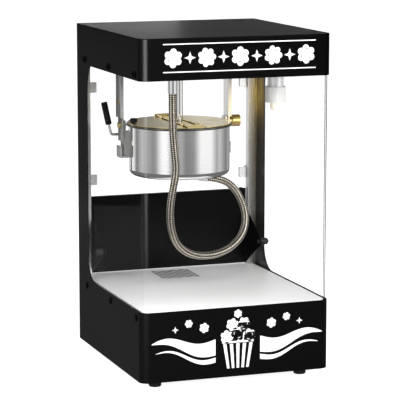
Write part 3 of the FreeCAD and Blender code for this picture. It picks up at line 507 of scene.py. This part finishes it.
def braid_height(turn, along):
    """Height from 0 to 1 of a plain-woven braid of wire bundles wound both ways, and from it their
    painted sheen and shade.
    """
    first = turn * BRAID_STRANDS + along / BRAID_PITCH * BRAID_STRANDS
    second = turn * BRAID_STRANDS - along / BRAID_PITCH * BRAID_STRANDS
    ridge = [1 - (np.abs((value % 1.0) - 0.5) / 0.5) ** 2 for value in (first, second)]
    over = np.mod(np.floor(first) + np.floor(second), 2)
    wires = [WIRE_RELIEF * np.abs(np.sin(np.pi * BUNDLE_WIRES * value))
             for value in (first, second)]
    top = np.where(over > 0.5, ridge[0] - wires[0], ridge[1] - wires[1])
    under = np.where(over > 0.5, ridge[1], ridge[0]) * UNDER_HEIGHT
    height = np.clip(np.maximum(top, under), 0, 1)
    return height, height * np.where(over > 0.5, 1.0, DULL_SHEEN)


def make_cord():
    line, along = even_line(cord_line(), CORD_STEP)
    side, across = carried_normals(line)
    turns = np.linspace(0, 1, CORD_SIDES, endpoint=False)
    angles = turns * 2 * math.pi
    height, painted_sheen = braid_height(turns[None, :], along[:, None])
    radius = CORD_DIAMETER / 2 - BRAID_RELIEF * (1 - height)
    ring = (np.cos(angles)[None, :, None] * side[:, None, :]
            + np.sin(angles)[None, :, None] * across[:, None, :])
    places = line[:, None, :] + radius[:, :, None] * ring
    index = np.arange(radius.size).reshape(radius.shape)
    following = np.roll(index, -1, axis=1)
    quads = np.stack([index[:-1], following[:-1], following[1:], index[1:]], axis=-1)
    faces = quads.reshape(-1, 4).tolist() + [index[0].tolist()[::-1], index[-1].tolist()]
    straight = np.stack([radius * np.cos(angles), np.broadcast_to(along[:, None], radius.shape),
                         radius * np.sin(angles)], axis=-1)
    mesh = bpy.data.meshes.new("kettle_conduit")
    mesh.from_pydata(straight.reshape(-1, 3).tolist(), [], faces)
    # the braid's painted sheen and shade, read by its material
    weave = mesh.attributes.new("weave", "FLOAT", "POINT")
    weave.data.foreach_set("value", painted_sheen.reshape(-1).astype("f"))
    obj = mesh_object("kettle_conduit", mesh, CONDUIT)
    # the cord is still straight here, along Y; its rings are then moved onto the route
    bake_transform(obj)
    mesh.vertices.foreach_set("co", places.reshape(-1).astype("f"))
    mesh.update()
    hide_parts("kettle_cord")
    sparse = line[::8].tolist()
    if sparse[-1] != line[-1].tolist():
        sparse.append(line[-1].tolist())


make_cord()


# ---------------------------------------------------------------- printed decoration
PRINT_DEPTH = 0.15 * MM
BAND_EDGE = 0.5 * MM


# Outlines are closed loops of (x, z) points in mm.
def around(x, z, reach, angle):
    return x + reach * math.cos(angle), z + reach * math.sin(angle)


def puff(x, z, radius, lobes=6, turn=0.3):
    """A popped kernel: a lobed outline with a few short creases cut out of it."""
    outline = []
    steps = 72
    for i in range(steps):
        angle = 2 * math.pi * i / steps
        lobe = abs(math.sin(0.5 * lobes * (angle + turn)))
        outline.append(around(x, z, radius * (0.70 + 0.30 * lobe ** 0.7), angle))
    loops = [outline]
    for k in range(3):
        bearing = turn + 2 * math.pi * k / 3 + 0.4
        centre = around(x, z, 0.30 * radius, bearing)
        loops.append(crescent(centre, 0.26 * radius, bearing - 0.9, bearing + 0.9, 0.075 * radius))
    return loops


def crescent(centre, radius, start, end, thickness):
    steps = 10
    outer = []
    inner = []
    for i in range(steps + 1):
        share = i / steps
        angle = start + (end - start) * share
        half = 0.5 * thickness * math.sin(math.pi * share) + 0.02 * radius
        outer.append(around(*centre, radius + half, angle))
        inner.append(around(*centre, radius - half, angle))
    return outer + inner[::-1]


def star(x, z, radius):
    """A star with four points and a waist between them."""
    points = 4
    waist = 0.36
    return [[around(x, z, radius * (waist if i % 2 else 1), math.pi * i / points + math.pi / 2)
             for i in range(2 * points)]]


def bar(x0, x1, z0, z1):
    return [[(x0, z0), (x1, z0), (x1, z1), (x0, z1)]]


def ribbon(x0, x1, z, height, wave, thickness):
    """A wavy band, thick near x0 and pointed at x1."""
    steps = 40
    upper = []
    lower = []
    for i in range(steps + 1):
        share = i / steps
        x = x0 + (x1 - x0) * share
        middle = z + height * share + wave * math.sin(2.0 * math.pi * share)
        half = 0.5 * thickness * (1 - share) ** 0.7 + 0.2
        upper.append((x, middle + half))
        lower.append((x, middle - half))
    return [upper + lower[::-1]]


def tub(x, z, height, top, bottom):
    """A plain striped tub under a rim: every second one of its stripes is printed."""
    loops = []
    count = 9
    for i in range(0, count, 2):
        left, right = i / count - 0.5, (i + 1) / count - 0.5
        loops.append([(x + left * bottom, z), (x + right * bottom, z),
                      (x + right * top, z + height), (x + left * top, z + height)])
    return loops + bar(x - top / 2 - 2, x + top / 2 + 2, z + height + 1.6, z + height + 5.0)


def printed(name, loops, body="root"):
    """Thin flat print on the front face."""
    curve = bpy.data.curves.new(name, "CURVE")
    curve.dimensions = "2D"
    curve.fill_mode = "BOTH"
    curve.extrude = PRINT_DEPTH / 2
    for loop in loops:
        spline = curve.splines.new("POLY")
        spline.points.add(len(loop) - 1)
        for point, (x, z) in zip(spline.points, loop):
            point.co = (x * MM, z * MM, 0.0, 1.0)
        spline.use_cyclic_u = True
    mesh = curve_mesh(curve, name)
    middle = Matrix.Translation((0, cad_box[0][1] + PRINT_DEPTH / 2, 0))
    mesh.transform(middle @ Matrix.Rotation(math.pi / 2, 4, "X"))
    obj = mesh_object(name, mesh, WHITE, smooth=False)
    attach(obj, body)


def recessed_band(node, name):
    """The band again, with its front face set back by the depth of the print."""
    mesh = nodes[node].data.copy()
    front = cad_box[0][1] + PRINT_DEPTH
    for vertex in mesh.vertices:
        vertex.co.y = max(vertex.co.y, front)
    mesh.materials.clear()
    obj = mesh_object(name, mesh, BLACK, smooth=False)
    modifier = obj.modifiers.new("edge", "BEVEL")
    modifier.width = BAND_EDGE
    modifier.segments = 2
    modifier.limit_method = "ANGLE"
    modifier.angle_limit = math.radians(50)
    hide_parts(node)
    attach(obj, "root")


def roof_decoration():
    """A row of puffs with stars between them, inside two thin bars."""
    low, high = size_of("roof_front_band")
    middle = 0.5 * (low.z + high.z) / MM + 3.0
    centre = 5.0
    pitch = 64
    bar_offset, bar_reach, half_bar = 25, 147, 0.9
    loops = []
    for i in range(-2, 3):
        loops += puff(centre + pitch * i, middle, 17.5, lobes=6 + i % 2, turn=0.5 * i)
    for i in (-1.5, -0.5, 0.5, 1.5):
        loops += star(centre + pitch * i, middle, 11.0)
    for z in (middle - bar_offset, middle + bar_offset):
        loops += bar(centre - bar_reach, centre + bar_reach, z - half_bar, z + half_bar)
    printed("roof_print", loops)


def base_decoration():
    """A heaped tub between two pairs of ribbons, with loose puffs and stars above them."""
    floor = size_of("base_front_band")[0].z / MM
    centre = 2.0
    # x and z from the tub's middle and the band's lower edge, and the puff's radius
    heap = ((-22, 76, 12.5), (0, 80, 14), (22, 76, 12.5), (-11, 98, 12), (12, 99, 12), (0, 118, 8))
    loops = tub(centre, floor + 16, 46, 58, 42)
    rng = random.Random(7)
    for x, z, radius in heap:
        loops += puff(centre + x, floor + z, radius, turn=rng.uniform(0, 3))
    for side in (-1, 1):
        loops += ribbon(centre + side * 44, centre + side * 168, floor + 58, 14, -7, 30)
        loops += ribbon(centre + side * 44, centre + side * 160, floor + 34, 20, -7, 9)
        for x, z, radius in ((66, 96, 9.5), (96, 106, 7.5)):
            loops += puff(centre + side * x, floor + z, radius, turn=rng.uniform(0, 3))
        loops += star(centre + side * 122, floor + 96, 6.5)
    printed("base_print", loops)


# The sieve in the deck, in mm: pairs of slots lie along X and Y in turn.
SIEVE_X, SIEVE_Y = -7.0, 129.0
SIEVE_SIDE = 78.0
SIEVE_CELLS = 8
SHADE_ALONG_X = (4.3, 1.9)      # half sizes of the painted shade patch over one slot
SHADE_ALONG_Y = (0.9, 3.8)
SHADE_GAP = 0.03 * MM


def sieve_shade():
    """Painted shade in the sieve's slots, drawn wider than a slot as painted shadow round its
    edges, a hair above the deck.
    """
    cell = SIEVE_SIDE / SIEVE_CELLS
    slots = []
    for i in range(SIEVE_CELLS):
        for j in range(SIEVE_CELLS):
            x = SIEVE_X + (i - (SIEVE_CELLS - 1) / 2) * cell
            y = SIEVE_Y + (j - (SIEVE_CELLS - 1) / 2) * cell
            for side in (-0.25, 0.25):
                if (i + j) % 2:
                    slots.append((x, y + side * cell, *SHADE_ALONG_X))
                else:
                    slots.append((x + side * cell, y, *SHADE_ALONG_Y))
    top = size_of("deck_plate")[1].z + SHADE_GAP
    vertices = []
    for x, y, half_x, half_y in slots:
        for right, back in ((-1, -1), (1, -1), (1, 1), (-1, 1)):
            vertices.append(((x + right * half_x) * MM, (y + back * half_y) * MM, top))
    faces = [tuple(range(4 * k, 4 * k + 4)) for k in range(len(slots))]
    mesh = bpy.data.meshes.new("sieve_shade")
    mesh.from_pydata(vertices, [], faces)
    obj = mesh_object("sieve_shade", mesh, SHADE, smooth=False)
    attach(obj, "root")


sieve_shade()
recessed_band("roof_front_band", "roof_band_skin")
recessed_band("base_front_band", "base_band_skin")
roof_decoration()
base_decoration()


# ---------------------------------------------------------------- studio
RING_RADIUS = 1.95              # outside the washes, which it would hide in reflections
RING_HEIGHT = 1.7
RING_MIDDLE = 0.845             # the ring reaches a little below the floor
FLAG_HEIGHT = 0.4 * MM

# Brightness of the softboxes and flags around the object, by angle from the camera's side,
# right positive.
CARDS = [
    (-180, 0.75), (-175, 0.22), (-160, 0.50), (-150, 1.20), (-127, 1.20), (-111, 0.20),
    (-91, 0.62), (-80, 0.36), (-70, 0.42), (-61, 0.28), (-53, 0.36), (-45, 0.85), (-39, 1.15),
    (-27, 1.20), (-19, 0.50), (-8, 0.40), (5, 0.46), (14, 0.24), (33, 0.30), (40, 0.60),
    (48, 1.05), (74, 1.15), (94, 0.40), (104, 0.66), (116, 0.42), (132, 0.22), (150, 0.45),
    (170, 0.40), (176, 0.55), (180, 0.75),
]

METALS = ("kettle_shell kettle_rim kettle_pan lid_left lid_right lid_crossbar lid_hinge_rods "
          "lid_knob pivot_nuts pivot_bolts hanger_left hanger_right kettle_bracket_left "
          "kettle_bracket_right handle_rod drive_shaft agitator rear_posts door_hinges "
          "door_hinge_pins door_clamp_left door_clamp_right cord_connector lamp_socket "
          "zinc_screws deck_plate cord_gland heating_element thermostat kettle_conduit")
NEAR_LAMP = ("lid_left lid_right hanger_right pivot_nuts side_panel_right rear_posts "
             "kettle_bracket_right")

# Area lights for single pieces: name, place, target, size, power in watts and the pieces.
WASHES = (
    ("corner_wash", (-0.72, -1.05, 0.52), (-0.18, -0.19, 0.45), (0.7, 0.7), 32,
     "roof_band_skin base_band_skin wrap_panel"),
    ("side_wash", (-0.75, 1.5, 0.2), (-0.18, 0, 0.35), (1.2, 0.7), 0.34,
     "side_panel_left roof_band_skin roof_rear_panel"),
    ("top_wash", (0.12, 1.5, 0.77), (0, 0, 0.645), (0.7, 0.3), 0.45,
     "roof_top_panel roof_band_skin"),
    ("deck_fill", (-0.13, -0.40, 0.42), (-0.02, -0.08, 0.13), (0.3, 0.1), 1.7,
     "deck_plate"),
    ("rear_wash", (1.2, 2.2, 0.35), (0, 0, 0.35), (1.5, 1.0), 140,
     FINISHES[BLACK]),
)


def add_floor():
    bpy.ops.mesh.primitive_plane_add(size=80)
    floor = bpy.context.object
    floor.name = "studio_floor"
    look = Look("studio_floor", (0.8, 0.8, 0.8), 0.9, Specular_IOR_Level=0.0,
                Emission_Color=(1.0, 1.0, 1.0, 1.0), Emission_Strength=0.95)
    look.mottle(0.7, 2.0, (0.79, 0.79, 0.79), (0.81, 0.81, 0.81))
    floor.data.materials.append(look.material)


def light_only(light, names):
    """The light falls on these objects alone."""
    lit = bpy.data.collections.new(light.name + "_lit")
    for name in names.split():
        lit.objects.link(nodes[name] if name in nodes else bpy.data.objects[name])
    light.light_linking.receiver_collection = lit


def only_in_gloss(obj):
    """The card shows in glossy reflections and nowhere else."""
    obj.visible_camera = False
    obj.visible_diffuse = False
    obj.visible_shadow = False
    obj.visible_transmission = False


def shape_mesh(name, build, **sizes):
    """Mesh of one bmesh operator."""
    mesh = bpy.data.meshes.new(name)
    shape = bmesh.new()
    build(shape, segments=96, **sizes)
    shape.to_mesh(mesh)
    shape.free()
    return mesh


def glowing(name):
    """A plain emission material and its emission node."""
    material = bpy.data.materials.new(name)
    material.use_nodes = True
    tree = material.node_tree
    tree.nodes.clear()
    glow = tree.nodes.new("ShaderNodeEmission")
    out = tree.nodes.new("ShaderNodeOutputMaterial")
    tree.links.new(glow.outputs["Emission"], out.inputs["Surface"])
    return material, glow


def add_floor_flag():
    """A grey card on the floor that shows only in glossy reflections."""
    mesh = shape_mesh("studio_floor_flag", bmesh.ops.create_circle, cap_ends=True,
                      radius=RING_RADIUS)
    material, glow = glowing("studio_floor_flag")
    glow.inputs["Color"].default_value = (0.16, 0.16, 0.16, 1.0)
    card = mesh_object("studio_floor_flag", mesh, material, smooth=False)
    card.location.z = FLAG_HEIGHT
    only_in_gloss(card)


def add_cards():
    """A ring of softboxes and dark flags that shows only in the metals' glossy reflections."""
    mesh = shape_mesh("studio_cards", bmesh.ops.create_cone, cap_ends=False,
                      radius1=RING_RADIUS, radius2=RING_RADIUS, depth=RING_HEIGHT)
    material, glow = glowing("studio_cards")
    tree = material.node_tree
    place = tree.nodes.new("ShaderNodeTexCoord")
    angle = tree.nodes.new("ShaderNodeTexGradient")
    angle.gradient_type = "RADIAL"
    ramp = tree.nodes.new("ShaderNodeValToRGB")
    tree.links.new(place.outputs["Object"], angle.inputs["Vector"])
    tree.links.new(angle.outputs["Fac"], ramp.inputs["Fac"])
    tree.links.new(ramp.outputs["Color"], glow.inputs["Color"])
    stops = ramp.color_ramp.elements
    while len(stops) > 1:
        stops.remove(stops[-1])
    stops[0].position = 0.0
    stops[0].color = (*[CARDS[0][1]] * 3, 1.0)
    for degrees, level in CARDS[1:]:
        stops.new(degrees / 360 + 0.5).color = (level, level, level, 1.0)
    ring = mesh_object("studio_cards", mesh, material)
    ring.location.z = RING_MIDDLE
    ring.rotation_euler.z = math.radians(CAMERA_AZIMUTH - 90)
    only_in_gloss(ring)
    light_only(ring, METALS)


def add_area(name, location, target, size, power):
    data = bpy.data.lights.new(name, "AREA")
    data.shape = "RECTANGLE"
    data.size, data.size_y = size
    data.energy = power
    light = bpy.data.objects.new(name, data)
    bpy.context.scene.collection.objects.link(light)
    light.location = location
    aim = Vector(target) - Vector(location)
    light.rotation_euler = aim.to_track_quat("-Z", "Y").to_euler()
    light.visible_camera = False
    return light


def add_lamp_glow():
    """The bulb's light, just below it, on the pieces near it."""
    data = bpy.data.lights.new("lamp_glow", "POINT")
    data.energy = 0.8
    data.color = (1.0, 0.68, 0.14)
    data.shadow_soft_size = 12 * MM
    lamp = bpy.data.objects.new("lamp_glow", data)
    bpy.context.scene.collection.objects.link(lamp)
    low, high = size_of("lamp_bulb")
    lamp.location = (0.5 * (low.x + high.x), 0.5 * (low.y + high.y), low.z - 15 * MM)
    light_only(lamp, NEAR_LAMP)


def add_world():
    world = bpy.data.worlds.new("studio")
    world.use_nodes = True
    background = world.node_tree.nodes["Background"]
    background.inputs["Color"].default_value = (0.95, 0.97, 1.0, 1.0)
    background.inputs["Strength"].default_value = 0.22
    bpy.context.scene.world = world


def add_lights():
    for name, location, target, size, power, pieces in WASHES:
        light_only(add_area(name, location, target, size, power), pieces)
    front = add_area("front", (0.9, -2.6, 1.3), (0, -0.1, 0.15), (1.4, 1.0), 70)
    light_only(front, " ".join(obj.name for obj in bpy.data.objects
                               if obj.type == "MESH" and not obj.name.endswith("band_skin")))
    add_area("left", (-2.4, -1.0, 1.5), (0, 0, 0.3), (1.0, 1.6), 25)
    add_area("top", (0.0, 0.3, 2.6), (0, 0, 0.3), (2.2, 2.2), 14)
    add_lamp_glow()


add_floor()
add_floor_flag()
add_cards()
add_world()
add_lights()
bpy.context.scene.view_settings.view_transform = "Standard"
